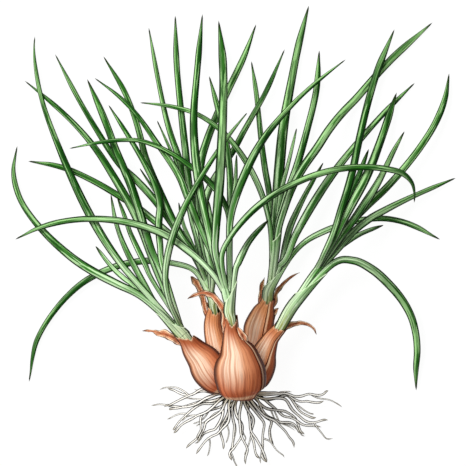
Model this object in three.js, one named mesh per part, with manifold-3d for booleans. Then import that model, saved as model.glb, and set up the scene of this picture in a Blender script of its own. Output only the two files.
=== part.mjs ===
import * as THREE from 'three';
import { mergeVertices } from 'three/addons/utils/BufferGeometryUtils.js';
import Module from 'manifold-3d';

const wasm = await Module();
wasm.setup();

// A clump of five shallots, pulled up whole with leaves and roots and laid on its back.
// Millimetres: +Z is up, +Y runs from the roots to the leaf tips, and the origin is on the
// surface below the middle of the plant.

// Driving dimensions
const CLEAR = 0.4; // space kept between two pieces that meet
const LEAF_SIDES = 6; // faces round a leaf
const LEAF_STEP = 15; // length of leaf between two rings
const SHEATH_STEP = 19; // length of leaf base between two rings
const LEAF_FLATNESS = 0.62; // thickness of a leaf over its width
const RING_SPREAD = 1.3; // how much closer a leaf's rings stand towards its tip
const LINE_PARTS = 100; // pieces that a leaf's line is measured in between two of its points
const FEEL_PARTS = 5; // places between two rings where a leaf feels what lies below it
const LEAF_GAP = 0.7; // height kept between two leaves that cross
const SHEATH_FAN = 10; // how far aside a blade parts from a neck to have its base at the neck's side
const SHEATH_TUCK = 0.35; // share of a leaf's width that stays inside the neck's side
const SHEATH_START = 0.55; // width of a leaf where it leaves the bulb, over its widest
const FOOT_WIDTH = 0.78; // width of a leaf where its blade parts, over its widest
const TAPER_START = 0.3; // share of the blade where it begins to narrow
const TIP_START = 0.85; // share of the blade where the point begins
const TIP_POWER = 0.68; // roundness of the point
const TIP_HEIGHT = 1.2; // height at which a leaf tip would come to lie by itself
const DROOP_POWER = 1.3; // how soon a leaf sinks towards the surface
const BULB_SIDES = 18;
const BULB_STEPS = 13;
const NECK_SIDES = 10;
const NECK_STEPS = 4;
const TAIL_SIDES = 6;
const TAIL_STEPS = 8;
const TAIL_DEPTH = 0.5; // half thickness of a twist of dry skin
const ROOT_COUNT = 26;
const ROOT_SIDES = 4;
const ROOT_STEPS = 9;
const ROOT_RADIUS = 1.25; // at the crown
const ROOT_END_RADIUS = 0.6;
const ROOT_FAN = [-3.24, 0.1]; // directions of the first and the last root, in radians
const ROOT_LENGTH = [36, 51]; // shortest and longest
const ROOT_REACH = 7; // extra length of the roots on the right
const ROOT_START = [-7, 6]; // heights of the roots' starts about the crown's middle
const ROOT_END = [1.2, 6]; // heights of the roots' ends
const ROOT_SWAY = [2, 5]; // how far a root winds to the side
const ROOT_TURNS = [0.7, 1.5]; // windings along a root
const ROOT_SPREAD = 0.7; // place of the roots' starts across the crown
const ROOT_SINK = 0.7; // how soon a root sinks to the surface
const ROOT_SEED = 11;
const CROWN = { at: [4, -111.5, 20], half: [12, 4.5, 11] }; // the disc that the roots grow from
const CROWN_SIDES = 14;
const CROWN_RINGS = 10;
const SURFACE = { span: 400, depth: 20 }; // what the plant lies on
const WELD = 1e-4;

const GREEN = 0x548f4a;
const PALE_GREEN = 0xb9d39a;
const COPPER = 0xb9693f;
const CREAM = 0xe9e0c4;

// Bulbs: stations from the mouth to the base, [x, y, z, half width, half depth], and the ways of
// the twists of dry skin at the mouth, [x, y, z, half width]
const BULBS = {
  front: {
    stations: [
      [-2, -61, 44, 4.1, 4.1], [-2, -68.5, 43, 5.9, 5.9], [0, -77, 42, 9.8, 9.6],
      [2, -84, 41, 14, 13.6], [3, -93, 40, 17.6, 17], [4, -102, 39, 17.8, 17],
      [4, -108.5, 37.8, 15.7, 15], [4.5, -113.2, 36.8, 10.8, 10.4], [4.5, -116.2, 36.2, 0, 0],
    ],
    tails: [
      [[-6, -74, 41.5, 1.2], [-7, -64.5, 40.5, 2], [-7, -55.5, 40, 2.3], [-10.2, -48.8, 39.5, 2.3],
        [-14.4, -44, 38.5, 2.1], [-19.2, -41.3, 37, 2], [-24.6, -41.6, 35, 1.4], [-29.5, -43.4, 33, 0.9],
        [-33, -45.5, 31, 0]],
    ],
  },
  left: {
    stations: [
      [-34.5, -72.5, 22, 5.2, 5.2], [-29, -80.5, 21, 8.2, 7.8], [-22, -88, 20, 11.7, 11],
      [-17, -96, 20, 12.8, 12], [-12, -103.5, 20.5, 10.6, 10], [-8, -108.5, 21.5, 6, 6],
      [-6, -111.5, 22, 0, 0],
    ],
    tails: [
      [[-33.5, -80, 20, 1.6], [-39, -75.3, 18.2, 2.2], [-43.5, -72.2, 17.5, 2.6], [-48.5, -70.2, 15.5, 2.9],
        [-53.5, -69.2, 14, 2.6], [-57, -68.3, 12.5, 1.2], [-60.5, -67.8, 11.5, 0.9], [-64.7, -67.9, 10, 0]],
    ],
  },
  right: {
    stations: [
      [32, -65.5, 21, 4.1, 4.1], [28, -70, 20.5, 5, 5], [25, -74, 20, 6, 6],
      [21, -82.5, 19, 8.5, 8.3], [18.5, -91, 19, 10.4, 9.8], [16, -99.5, 19.5, 9.8, 9.2],
      [14, -105.5, 20.5, 7, 6.6], [12.5, -110, 21.5, 0, 0],
    ],
    tails: [
      [[28.5, -71, 19, 1.6], [35, -66.2, 16.8, 2.1], [39.6, -63.7, 15.5, 2], [43.8, -62.7, 14.5, 1.7],
        [48, -62.3, 13.8, 1.4], [52.2, -63.7, 12.8, 1.1], [55.7, -66.5, 11.5, 0.8], [57.5, -70.4, 10, 0]],
    ],
  },
  back_left: {
    stations: [
      [-14.5, -52.5, 9.5, 4.2, 4.2], [-15, -58, 9, 5.6, 5.4], [-15, -65, 8.5, 6.6, 6.3],
      [-13, -75, 8, 7.6, 7.4], [-9.5, -87, 7.8, 8.3, 8.4], [-5.5, -98, 9, 7.4, 7.4],
      [-2.5, -105.5, 12, 4.6, 4.6], [0, -110.5, 15, 0, 0],
    ],
    tails: [
      [[-18, -60, 8, 1.5], [-20.5, -53, 6.2, 1.7], [-22, -46, 4.5, 1.8], [-23.4, -40.6, 3.4, 2.2],
        [-26.2, -35, 2.8, 2.3], [-29, -31.5, 2.4, 1.4], [-30.8, -29.8, 2.2, 0]],
    ],
  },
  back_right: {
    stations: [
      [23, -47.5, 10, 4.6, 4.6], [20.5, -54.5, 9, 8, 6.8], [17, -65, 8.3, 10.3, 8.8],
      [15.5, -72, 8, 9.5, 8.7], [13.5, -81, 7.9, 8.4, 8.5], [12, -91.5, 8.5, 7.6, 7.6],
      [11, -102, 11.5, 5.2, 5.2], [10, -109, 15, 0, 0],
    ],
    tails: [
      [[18, -54, 7.5, 1.5], [18.3, -46.2, 6, 1.6], [18.6, -40.6, 4.5, 1.6], [19.3, -35, 3.6, 1.3],
        [21.2, -30.4, 3, 0]],
      [[24.5, -54, 7, 1.6], [28, -48.3, 6, 1.8], [28.6, -43.4, 5, 1.9], [31.2, -37.8, 3.8, 1.7],
        [36.1, -32.9, 3, 1.2], [41, -29.4, 2.4, 0.8], [45.9, -27, 2, 0]],
      [[22.5, -64, 10.5, 3], [25.5, -57.5, 9.5, 3], [28.5, -54, 8, 1.7], [31, -52, 6.5, 0]],
    ],
  },
};

// Necks: the way the wrapped leaf bases run from the bulb's mouth to where they part, and the
// radius at both ends
const NECKS = {
  front: { stem: [[-2, -61, 44], [-3.5, -51, 45], [-6, -41, 46]], radii: [3.4, 4.6] },
  left: { stem: [[-34.5, -72.5, 22], [-37.5, -69.2, 21.8], [-40.2, -66.2, 21.5]], radii: [4.4, 4.8] },
  right: { stem: [[32, -65.5, 21], [43.3, -47, 21], [57.8, -26, 20.5]], radii: [3.8, 4.6] },
  back_left: { stem: [[-14.5, -52.5, 9.5], [-16.5, -43, 10.5], [-19, -33, 11]], radii: [3.3, 3.3] },
  back_right: { stem: [[23, -47.5, 10], [25, -37, 11], [27.5, -25, 11.5]], radii: [3.9, 3.7] },
};

// Leaves in the order they lie, the lowest first: shoot, widest width, width where the point
// begins, and the way the blade runs as seen from above, from where it parts from its shoot
const LEAVES = [
  ['back_left', 5, 3.7, [[-27.5, -26], [-38, -21.5], [-69.5, -19.5], [-107.5, -35], [-137.5, -72],
    [-144, -103]]],
  ['back_right', 4.6, 4.1, [[38, -18], [45, -9], [61, 1], [81, 8], [102, 11], [121.5, 7.5],
    [143.5, -3.5]]],
  ['back_right', 4.6, 3.6, [[26, 1.5], [25, 24], [21, 48.5], [18, 73], [15.5, 97.5], [12, 120.5]]],
  ['back_right', 7.7, 5.4, [[27.5, 1.5], [29.5, 24], [32, 52], [34.5, 76.5], [39.5, 104.5], [45, 132.5],
    [52, 159.5]]],
  ['back_right', 3.5, 2.5, [[29.5, 5.5], [33, 31], [37.5, 48.5], [43.5, 73.5]]],
  ['back_right', 5.4, 4.8, [[29.5, 3], [34.5, 21.5], [44, 48.5], [51.5, 75], [57.5, 101], [59.5, 128]]],
  ['back_right', 6.2, 5.4, [[30.5, 1.5], [36, 20.5], [44.5, 41], [55, 56], [70.5, 79], [84, 93.5],
    [109.5, 122], [138.5, 148]]],
  ['back_right', 5, 3.3, [[32.5, -21], [37.5, 0.5], [46, 20.5], [53.5, 34.5], [62, 49.5]]],
  ['back_right', 6.2, 4.1, [[36, -17.5], [41.5, -3.5], [52, 16], [67.5, 40], [86, 63.5], [105.5, 85.5],
    [126, 105.5]]],
  ['back_left', 3.1, 2.1, [[-25, -14.5], [-29, 6.5], [-36, 38], [-46.5, 62.5], [-54, 79]]],
  ['back_left', 5, 3.3, [[-24, -11], [-29, 6.5], [-33.5, 29.5], [-38.5, 52], [-46, 74], [-53.5, 108],
    [-60, 144]]],
  ['back_left', 5.4, 4.3, [[-22, -10], [-27, 8.5], [-31.5, 31], [-34, 55.5], [-37.5, 87], [-40.5, 118.5],
    [-41.5, 152.5]]],
  ['back_left', 6.2, 5, [[-17, -26], [-21, -10.5], [-24, 10], [-25, 32], [-23, 53], [-15.5, 75.5],
    [-7, 95.5], [6.5, 124], [15, 146.5]]],
  ['back_left', 5.4, 3.7, [[-15, -30], [-18, -17], [-21.5, 5.5], [-21, 21.5], [-13.5, 40], [-2.5, 55.5],
    [9, 76.5], [21.5, 98.5], [35, 129]]],
  ['back_left', 3.5, 2.5, [[-26, -15.5], [-31, -5], [-36, 7.5], [-39, 21.5]]],
  ['back_left', 3.1, 2.1, [[-29, -11], [-39.5, 5], [-50, 21], [-66, 45.5]]],
  ['back_left', 5, 4.1, [[-29.5, -12], [-41, -3], [-53.5, 7], [-65.5, 17], [-81.5, 27], [-100.5, 38],
    [-121.5, 47], [-144, 51]]],
  ['back_left', 5.4, 3.5, [[-29, -14.5], [-39.5, 0.5], [-52, 19], [-66, 35], [-81, 49.5], [-93.5, 68],
    [-109, 94], [-125.5, 125.5]]],
  ['back_left', 5.4, 4.1, [[-28.5, -13.5], [-36, -3], [-42.5, 9], [-52.8, 31], [-62, 53], [-68.5, 77.5],
    [-77, 99.5], [-91.5, 124]]],
  ['left', 4.6, 3.1, [[-55, -48.5], [-62.5, -36], [-72.5, -18], [-79, -4], [-83.5, 10], [-86.5, 27]]],
  ['left', 4.2, 3.1, [[-57, -33], [-64, -18], [-72.5, -0.5], [-77.5, 14], [-82, 25.5]]],
  ['left', 3.9, 2.9, [[-69, -38], [-79, -29.5], [-86, -23], [-97, -9]]],
  ['left', 6.2, 4.1, [[-54, -53], [-63.5, -44.5], [-83, -34.5], [-109, -20], [-134.5, 2.5], [-150, 24],
    [-155, 43.5], [-152.5, 61]]],
  ['left', 6.2, 3.7, [[-53, -29.5], [-60, -11], [-68, 10.5], [-86, 42.5], [-97.5, 60], [-111.5, 76.5],
    [-127.5, 91.5], [-146.5, 107]]],
  ['left', 6.2, 5, [[-51.5, -26.5], [-58.5, -10], [-65, 11], [-73, 35.5], [-81.7, 55.5], [-90.3, 78.5],
    [-103, 108]]],
  ['left', 5.4, 3.5, [[-50, -24], [-52, -7.5], [-53, 8.5], [-52, 21.5], [-55.5, 34.5], [-63.5, 50.5],
    [-73, 66.5], [-88, 90]]],
  ['left', 6.2, 3.3, [[-66, -36.5], [-81.5, -18], [-96, 4], [-108, 26.5], [-123, 60.5], [-135.5, 96],
    [-140.5, 127.5], [-140, 138]]],
  ['front', 5.4, 3.3, [[-14.5, -17], [-23.5, 3], [-32, 24], [-39.5, 42], [-53.5, 62.5], [-67.5, 82.5],
    [-81, 96.5], [-97.5, 109]]],
  ['front', 5, 4.1, [[-3.5, -4], [-3, 15.5], [-3, 38], [-5, 60], [-11, 85.5], [-17.5, 110]]],
  ['back_right', 4.6, 3.3, [[25.5, -0.5], [22, 19], [14.5, 39], [2.5, 59], [-10, 73], [-27.5, 84.5],
    [-47, 89.8], [-65.5, 92]]],
  ['front', 4.6, 2.9, [[-4, -2], [-5, 17], [-15, 33.5], [-31, 47.5], [-46.5, 57.5], [-66, 65.2],
    [-90.5, 64.6], [-115, 60]]],
  ['front', 5.8, 4.1, [[-12.5, -31.5], [-18.5, -23.5], [-27, -16.5], [-42, -4], [-62.5, 5], [-87, 10],
    [-111.5, 10], [-135, 5], [-153, -3.5]]],
  ['right', 4.2, 2.9, [[71, -12.5], [81, -4], [91.5, 1.5], [104, 6]]],
  ['right', 5.4, 3.3, [[72.5, -11], [87.5, 5.5], [105, 16.5], [126.5, 27], [154.5, 39]]],
  ['right', 5.4, 5, [[72.5, -6.5], [84.5, 11], [105.5, 31.5], [124, 52.5], [140.5, 77], [148, 96],
    [150.5, 112]]],
  ['right', 6.2, 3.7, [[74, -3], [88, 16.5], [100.7, 36.5], [111, 57], [119, 71.5]]],
  ['right', 5.2, 3.8, [[68.5, -3], [76.7, 17], [85.5, 37], [94, 59]]],
  ['right', 6.9, 5.4, [[69.5, -4], [79.8, 17], [92.6, 41], [102.6, 66], [113.5, 98.5]]],
  ['right', 5.5, 5.1, [[63, -13], [69, 0.5], [75, 19], [81, 38], [87, 64.5], [93.2, 90.5],
    [100.5, 115], [112, 143]]],
  ['right', 6.5, 5, [[68, -21.3], [79.4, -18.3], [90, -20.8], [107.5, -34.5], [122.5, -54.5], [128, -76],
    [127.3, -95.5], [127.5, -109]]],
  ['front', 3.9, 2.5, [[-14.5, -12.5], [-15.5, 3], [-17, 15.5], [-18.5, 24]]],
  ['front', 3.9, 2.9, [[-3, -1.5], [-2, 18], [0.5, 33.5], [1.5, 55]]],
  ['front', 6.5, 4.5, [[-15, -12.5], [-18.5, 4], [-23, 25], [-27, 52], [-28.5, 80], [-26, 115],
    [-22.5, 153.5]]],
  ['front', 6.2, 3.1, [[-3.5, -3], [-2, 15.5], [6, 39], [19, 64.5], [39, 89], [56.5, 105.5],
    [77.5, 122]]],
  ['left', 5.4, 3.3, [[-45.2, -48], [-48.2, -33], [-47, -17], [-40.5, 5.5], [-31, 26], [-20.5, 44],
    [-11.5, 58], [-3, 70], [8.5, 84.5]]],
  ['front', 6.9, 5.8, [[-13, -14.5], [-13, 3], [-11, 27.5], [-9.5, 52], [-8, 87], [-8, 118.5],
    [-11, 149]]],
  ['front', 5.4, 4.1, [[0.5, -26.5], [4.5, -16], [11.5, -3.5], [23.5, 9.5]]],
  ['front', 5, 4.5, [[-9, -17], [-4, -4], [7.5, 11], [25, 26], [53, 40], [77.5, 46], [102, 46],
    [119, 41.5], [125.5, 33], [126, 22.5]]],
];

const UP = new THREE.Vector3(0, 0, 1);
const { lerp, smoothstep } = THREE.MathUtils;
const plant = new THREE.Group();

function addPiece(name, geometry, color, roughness) {
  const piece = new THREE.Mesh(geometry, new THREE.MeshStandardMaterial({ color, roughness, metalness: 0 }));
  piece.name = name;
  plant.add(piece);
}

// The directions across and up from a line of stations at station k
function frameAt(stations, k) {
  const before = stations[Math.max(k - 1, 0)].at;
  const after = stations[Math.min(k + 1, stations.length - 1)].at;
  const along = stations[k].along ?? after.clone().sub(before).normalize();
  const side = along.clone().cross(UP).normalize();
  return { along, side, up: side.clone().cross(along) };
}

// A closed tube through stations { at, wide, deep }, with its half sizes across and up from the
// line. A last station of no width closes it in a point.
function sweep(stations, sides) {
  const steps = stations.length - 1;
  const endRadius = stations[steps].wide > 0 ? 1 : 0;
  const geometry = new THREE.CylinderGeometry(endRadius, 1, 1, sides, steps, false, Math.PI / 2);
  const frames = stations.map((station, k) => frameAt(stations, k));
  const places = geometry.attributes.position;
  const corner = new THREE.Vector3();
  for (let i = 0; i < places.count; i += 1) {
    corner.fromBufferAttribute(places, i);
    const k = Math.round((corner.y + 0.5) * steps);
    const radius = Math.hypot(corner.x, corner.z) || 1;
    const moved = stations[k].at.clone();
    moved.addScaledVector(frames[k].side, stations[k].wide * corner.x / radius);
    moved.addScaledVector(frames[k].up, stations[k].deep * corner.z / radius);
    places.setXYZ(i, moved.x, moved.y, moved.z);
  }
  geometry.deleteAttribute('normal');
  geometry.deleteAttribute('uv');
  return mergeVertices(geometry, WELD);
}

function solidOf(geometry) {
  return new wasm.Manifold(new wasm.Mesh({
    numProp: 3,
    vertProperties: Float32Array.from(geometry.attributes.position.array),
    triVerts: Uint32Array.from(geometry.index.array),
  }));
}

function geometryOf(solid) {
  const mesh = solid.getMesh();
  const geometry = new THREE.BufferGeometry();
  geometry.setAttribute('position', new THREE.BufferAttribute(Float32Array.from(mesh.vertProperties), 3));
  geometry.setIndex(new THREE.BufferAttribute(Uint32Array.from(mesh.triVerts), 1));
  return geometry;
}

// Stations of a smooth line through points [x, y, z, wide, deep]
function smoothStations(points, steps, grow) {
  const line = new THREE.CatmullRomCurve3(points.map(([x, y, z]) => new THREE.Vector3(x, y, z)));
  const sizes = new THREE.CatmullRomCurve3(points.map((p) => new THREE.Vector3(p[3], p[4], 0)));
  const stations = [];
  for (let k = 0; k <= steps; k += 1) {
    const size = sizes.getPoint(k / steps);
    const closed = k === steps && points.at(-1)[3] === 0;
    stations.push({
      at: line.getPoint(k / steps),
      wide: closed ? 0 : size.x + grow,
      deep: closed ? 0 : size.y + grow,
    });
  }
  return stations;
}

// A bulb, grown on every side to cut room for it out of its neighbours
function bulbSolid(name, grow) {
  const stations = smoothStations(BULBS[name].stations, BULB_STEPS, grow);
  const last = stations.length - 1;
  stations[0].at.addScaledVector(frameAt(stations, 0).along, -grow);
  stations[last].at.addScaledVector(frameAt(stations, last).along, 2 * grow);
  return solidOf(sweep(stations, BULB_SIDES));
}

function tailSolid(route) {
  const points = route.map((point, k) => [...point, k === route.length - 1 ? 0 : TAIL_DEPTH]);
  return solidOf(sweep(smoothStations(points, TAIL_STEPS, 0), TAIL_SIDES));
}

// The bulbs press against each other: each gives way to those in front of it, and the two at
// the back are flattened where they lie on the surface
const surface = new THREE.BoxGeometry(SURFACE.span, SURFACE.span, SURFACE.depth);
surface.translate(0, 0, -SURFACE.depth / 2);
surface.deleteAttribute('normal');
surface.deleteAttribute('uv');
const surfaceSolid = solidOf(mergeVertices(surface, WELD));
const inFront = [];
for (const name of Object.keys(BULBS)) {
  let bulb = bulbSolid(name, 0).subtract(surfaceSolid);
  for (const other of inFront) {
    bulb = bulb.subtract(bulbSolid(other, CLEAR));
  }
  for (const route of BULBS[name].tails) {
    bulb = bulb.add(tailSolid(route));
  }
  inFront.push(name);
  addPiece(`bulb_${name}`, geometryOf(bulb), COPPER, 0.45);
}

// Width of a leaf along its blade, from where it parts from the shoot to its tip
function bladeWidth(widest, late, share) {
  if (share > TIP_START) {
    return late * ((1 - share) / (1 - TIP_START)) ** TIP_POWER;
  }
  if (share < TAPER_START) {
    return widest * lerp(FOOT_WIDTH, 1, smoothstep(share, 0, TAPER_START));
  }
  return lerp(widest, late, smoothstep(share, TAPER_START, TIP_START));
}

// The way of a leaf's base along the neck, on the side where its blade parts
function sheathRoute(shoot, footWidth, [footX, footY]) {
  const { stem, radii } = NECKS[shoot];
  const [[fromX, fromY], [forkX, forkY]] = stem.slice(-2);
  const along = new THREE.Vector2(forkX - fromX, forkY - fromY).normalize();
  const across = (footX - forkX) * along.y - (footY - forkY) * along.x;
  const lean = THREE.MathUtils.clamp(across / SHEATH_FAN, -1, 1);
  return stem.map(([x, y, z], k) => {
    const radius = lerp(...radii, k / (stem.length - 1));
    const aside = lean * (radius - SHEATH_TUCK * footWidth) * (k + 1) / stem.length;
    return [x + aside * along.y, y - aside * along.x, z];
  });
}

// Rings of a whole leaf from the bulb's mouth to the tip, as it would lie with nothing below it
function leafRings(shoot, widest, late, route) {
  const stem = sheathRoute(shoot, FOOT_WIDTH * widest, route[0]);
  const fork = stem.at(-1)[2];
  const droop = route.map(([x, y], k) => {
    const left = 1 - k / (route.length - 1);
    return [x, y, lerp(TIP_HEIGHT, fork, left ** DROOP_POWER)];
  });
  const points = [...stem, ...droop].map(([x, y, z]) => new THREE.Vector3(x, y, z));
  const line = new THREE.CatmullRomCurve3(points);
  line.arcLengthDivisions = LINE_PARTS * (points.length - 1);
  const lengths = line.getLengths();
  const whole = lengths.at(-1);
  const foot = lengths[LINE_PARTS * stem.length] / whole;
  const sheathSteps = Math.ceil(foot * whole / SHEATH_STEP);
  const bladeSteps = Math.ceil((1 - foot) * whole / LEAF_STEP) + 1;
  const rings = [];
  for (let k = 0; k <= sheathSteps + bladeSteps; k += 1) {
    const sheath = k <= sheathSteps;
    const share = 1 - (1 - (k - sheathSteps) / bladeSteps) ** RING_SPREAD;
    const width = sheath
      ? widest * lerp(SHEATH_START, FOOT_WIDTH, k / sheathSteps)
      : bladeWidth(widest, late, share);
    const at = line.getPointAt(sheath ? foot * k / sheathSteps : Math.min(1, lerp(foot, 1, share)));
    rings.push({ at, wide: width / 2, deep: width / 2 * LEAF_FLATNESS });
  }
  return { shoot, rings, sheathSteps };
}

// Points along a leaf, close enough together to feel what lies below it
function feel(leaf) {
  const points = [];
  for (let k = 0; k < leaf.rings.length - 1; k += 1) {
    for (let i = 0; i <= FEEL_PARTS; i += 1) {
      const a = leaf.rings[k];
      const b = leaf.rings[k + 1];
      points.push({
        at: a.at.clone().lerp(b.at, i / FEEL_PARTS),
        wide: lerp(a.wide, b.wide, i / FEEL_PARTS),
        deep: lerp(a.deep, b.deep, i / FEEL_PARTS),
        ring: k,
        sheathOf: k < leaf.sheathSteps ? leaf.shoot : '',
      });
    }
  }
  return points;
}

// The least height at which a point of a leaf is clear of the leaves below it
function clearHeight(point, below) {
  let height = point.deep;
  for (const low of below) {
    const reach = point.wide + low.wide + LEAF_GAP;
    const apart = Math.hypot(point.at.x - low.at.x, point.at.y - low.at.y);
    const together = point.sheathOf !== '' && point.sheathOf === low.sheathOf;
    if (apart < reach && !together) {
      const stack = (point.deep + low.deep) * Math.sqrt(1 - (apart / reach) ** 2) + LEAF_GAP;
      height = Math.max(height, low.at.z + stack);
    }
  }
  return height;
}

// Lift a leaf over those below it, in a bend that is eased over its neighbouring rings
function lay(leaf, below) {
  const last = leaf.rings.length - 1;
  const heights = leaf.rings.map((ring) => ring.at.z);
  for (const point of feel(leaf)) {
    const height = clearHeight(point, below);
    heights[point.ring] = Math.max(heights[point.ring], height);
    heights[point.ring + 1] = Math.max(heights[point.ring + 1], height);
  }
  const bend = heights.map((height, k) => Math.max(...heights.slice(Math.max(0, k - 1), k + 2)));
  for (let k = 1; k <= last; k += 1) {
    leaf.rings[k].at.z = 0.25 * bend[k - 1] + 0.5 * bend[k] + 0.25 * bend[Math.min(k + 1, last)];
  }
  leaf.rings.forEach((ring, k) => {
    ring.along = frameAt(leaf.rings, k).along;
  });
  below.push(...feel(leaf));
}

const laid = [];
const leaves = LEAVES.map((leaf) => leafRings(...leaf));
for (const leaf of leaves) {
  lay(leaf, laid);
}

// A ring moved along its leaf
function shifted(ring, distance) {
  return { ...ring, at: ring.at.clone().addScaledVector(ring.along, distance) };
}

// Necks: the leaf bases of each shoot, wrapped and grown together
for (const name of Object.keys(NECKS)) {
  const { stem, radii } = NECKS[name];
  const ends = stem.map(([x, y, z], k) => {
    const radius = lerp(radii[0], radii[1], k / (stem.length - 1));
    return [x, y, z, radius, radius];
  });
  let neck = solidOf(sweep(smoothStations(ends, NECK_STEPS, 0), NECK_SIDES));
  for (const leaf of leaves.filter(({ shoot }) => shoot === name)) {
    const sheath = leaf.rings.slice(0, leaf.sheathSteps + 1);
    sheath.push(shifted(sheath.pop(), -CLEAR / 2));
    neck = neck.add(solidOf(sweep(sheath, LEAF_SIDES)));
  }
  neck = neck.subtract(bulbSolid(name, CLEAR));
  addPiece(`neck_${name}`, geometryOf(neck), PALE_GREEN, 0.5);
}

// Leaf blades
const counts = {};
for (const leaf of leaves) {
  counts[leaf.shoot] = (counts[leaf.shoot] ?? 0) + 1;
  const blade = leaf.rings.slice(leaf.sheathSteps);
  blade[0] = shifted(blade[0], CLEAR / 2);
  addPiece(`leaf_${leaf.shoot}_${counts[leaf.shoot]}`, sweep(blade, LEAF_SIDES), GREEN, 0.5);
}

// Roots: a fan of thin wavy roots from the crown, sinking to the surface
function makeDraw(seed) {
  let state = seed;
  return () => {
    state = (state * 16807) % 2147483647;
    return state / 2147483647;
  };
}

function rootSolid(k, draw) {
  const angle = lerp(...ROOT_FAN, (k + draw()) / ROOT_COUNT);
  const length = lerp(...ROOT_LENGTH, draw()) + ROOT_REACH * Math.max(0, Math.cos(angle));
  const startZ = CROWN.at[2] + lerp(...ROOT_START, draw());
  const endZ = lerp(...ROOT_END, draw());
  const sway = lerp(...ROOT_SWAY, draw());
  const turns = lerp(...ROOT_TURNS, draw());
  const phase = 2 * Math.PI * draw();
  const along = [Math.cos(angle), Math.sin(angle)];
  const stations = [];
  for (let i = 0; i <= ROOT_STEPS; i += 1) {
    const share = i / ROOT_STEPS;
    const reach = length * share;
    const turn = 2 * Math.PI * turns * share + phase;
    const aside = sway * Math.sqrt(share) * Math.sin(turn);
    const height = lerp(startZ, endZ, share ** ROOT_SINK) + sway / 2 * share * Math.cos(turn);
    const radius = lerp(ROOT_RADIUS, ROOT_END_RADIUS, share);
    stations.push({
      at: new THREE.Vector3(
        CROWN.at[0] + (ROOT_SPREAD * CROWN.half[0] + reach) * along[0] - aside * along[1],
        CROWN.at[1] + reach * along[1] + aside * along[0],
        Math.max(radius, height),
      ),
      wide: radius,
      deep: radius,
    });
  }
  return solidOf(sweep(stations, ROOT_SIDES));
}

const crown = new THREE.SphereGeometry(1, CROWN_SIDES, CROWN_RINGS);
crown.scale(...CROWN.half);
crown.translate(...CROWN.at);
crown.deleteAttribute('normal');
crown.deleteAttribute('uv');
let roots = solidOf(mergeVertices(crown, WELD));
const draw = makeDraw(ROOT_SEED);
for (let k = 0; k < ROOT_COUNT; k += 1) {
  roots = roots.add(rootSolid(k, draw));
}
for (const name of Object.keys(BULBS)) {
  roots = roots.subtract(bulbSolid(name, CLEAR));
}
const [tuft] = roots.decompose().sort((a, b) => b.volume() - a.volume());
addPiece('root_tuft', geometryOf(tuft), CREAM, 0.8);

export default plant;
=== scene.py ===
import math
from bisect import bisect_right
from itertools import accumulate

import bmesh
import bpy
from mathutils import Color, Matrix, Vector, noise
from mathutils.geometry import interpolate_bezier


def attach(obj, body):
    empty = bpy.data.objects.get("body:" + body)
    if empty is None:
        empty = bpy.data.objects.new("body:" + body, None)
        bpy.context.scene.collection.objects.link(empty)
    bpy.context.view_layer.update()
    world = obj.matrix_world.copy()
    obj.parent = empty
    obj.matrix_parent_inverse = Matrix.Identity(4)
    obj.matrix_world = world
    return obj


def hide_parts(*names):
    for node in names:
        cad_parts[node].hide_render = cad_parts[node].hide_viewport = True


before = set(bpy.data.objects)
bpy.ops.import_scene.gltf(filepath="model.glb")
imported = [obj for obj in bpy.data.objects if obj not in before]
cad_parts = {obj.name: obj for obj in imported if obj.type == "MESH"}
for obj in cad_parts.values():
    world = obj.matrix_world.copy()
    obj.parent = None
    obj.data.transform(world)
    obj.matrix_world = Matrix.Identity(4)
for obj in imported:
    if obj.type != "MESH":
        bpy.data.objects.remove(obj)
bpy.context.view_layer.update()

# Roots: a fan of cream roots that grows out of the crown, the short hard stem under the bulbs.
# They are smooth and fleshy and carry thin side roots, browner near the crown, partly their own
# colour and partly painted shade where they crowd together. They came out of the soil with the
# plant and lie spread on the surface.
UP = Vector((0, 0, 1))
WELD = 1e-6
CROWN_AT = Vector((0.004, -0.1115, 0.020))
CROWN_HALF = Vector((0.012, 0.0045, 0.011))
CROWN_ROUGHNESS = 0.0012
CROWN_BUMPS = 4
CROWN_SIDES = 40
CROWN_RINGS = 24
ROOT_COUNT = 26
ROOT_FAN = (-3.24, 0.1)
ROOT_LENGTH = (0.036, 0.051)
ROOT_REACH = 0.007
ROOT_START = (-0.007, 0.006)
ROOT_END = (0.0012, 0.006)
ROOT_SWAY = (0.002, 0.005)
ROOT_TURNS = (0.7, 1.5)
ROOT_SPREAD = 0.7
ROOT_SINK = 0.7
ROOT_RADIUS = 0.0013
ROOT_END_RADIUS = 0.0008
ROOT_SEED = 11
ROOT_STATIONS = 24
ROOT_SIDES = 10
ROOT_PARTS = 3
ROWS_PER_STATION = 2
ROOT_KINK = 0.0052
KINK_SCALE = 85
KINK_SEED = 4
ROOT_UNEVEN = 0.25
UNEVEN_SCALE = 2 * KINK_SCALE
SIDE_ROOT_JOINT = (0.3, 0.85)
SIDE_ROOT_LENGTH = (0.010, 0.022)
SIDE_ROOT_LEAN = (0.4, 0.9)
SIDE_ROOT_TURN = 0.5
SIDE_ROOT_RADIUS = 0.0008
SIDE_ROOT_TAPER = 0.5
SIDE_ROOT_STATIONS = 8
SIDE_ROOT_SIDES = 6
DRAW_STEP = 16807
DRAW_RANGE = 2147483647
STREAK_DETAIL = 2.0
FINE_SCALE = 3.3
FINE_DETAIL = 3.0
UPPER_EDGE = 0.1
# Brown at the crown is partly the roots' own colour and partly painted shade where they crowd.
ROOT_COLOURS = (
    (0.0, (140, 108, 74)), (0.1, (222, 210, 182)), (0.3, (255, 253, 246)),
    (0.9, (252, 249, 240)), (1.0, (150, 138, 112)),
)
ROOT_STREAK = (206, 198, 176)
ROOT_FLANK_SHADE = (12, 9, 4)


def lerp(low, high, share):
    """The value that lies a share of the way from low to high."""
    return low + (high - low) * share


def ease(low, high, value):
    """0 below low, 1 above high, and a smooth step between them."""
    share = min(max((value - low) / (high - low), 0), 1)
    return share * share * (3 - 2 * share)


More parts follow.
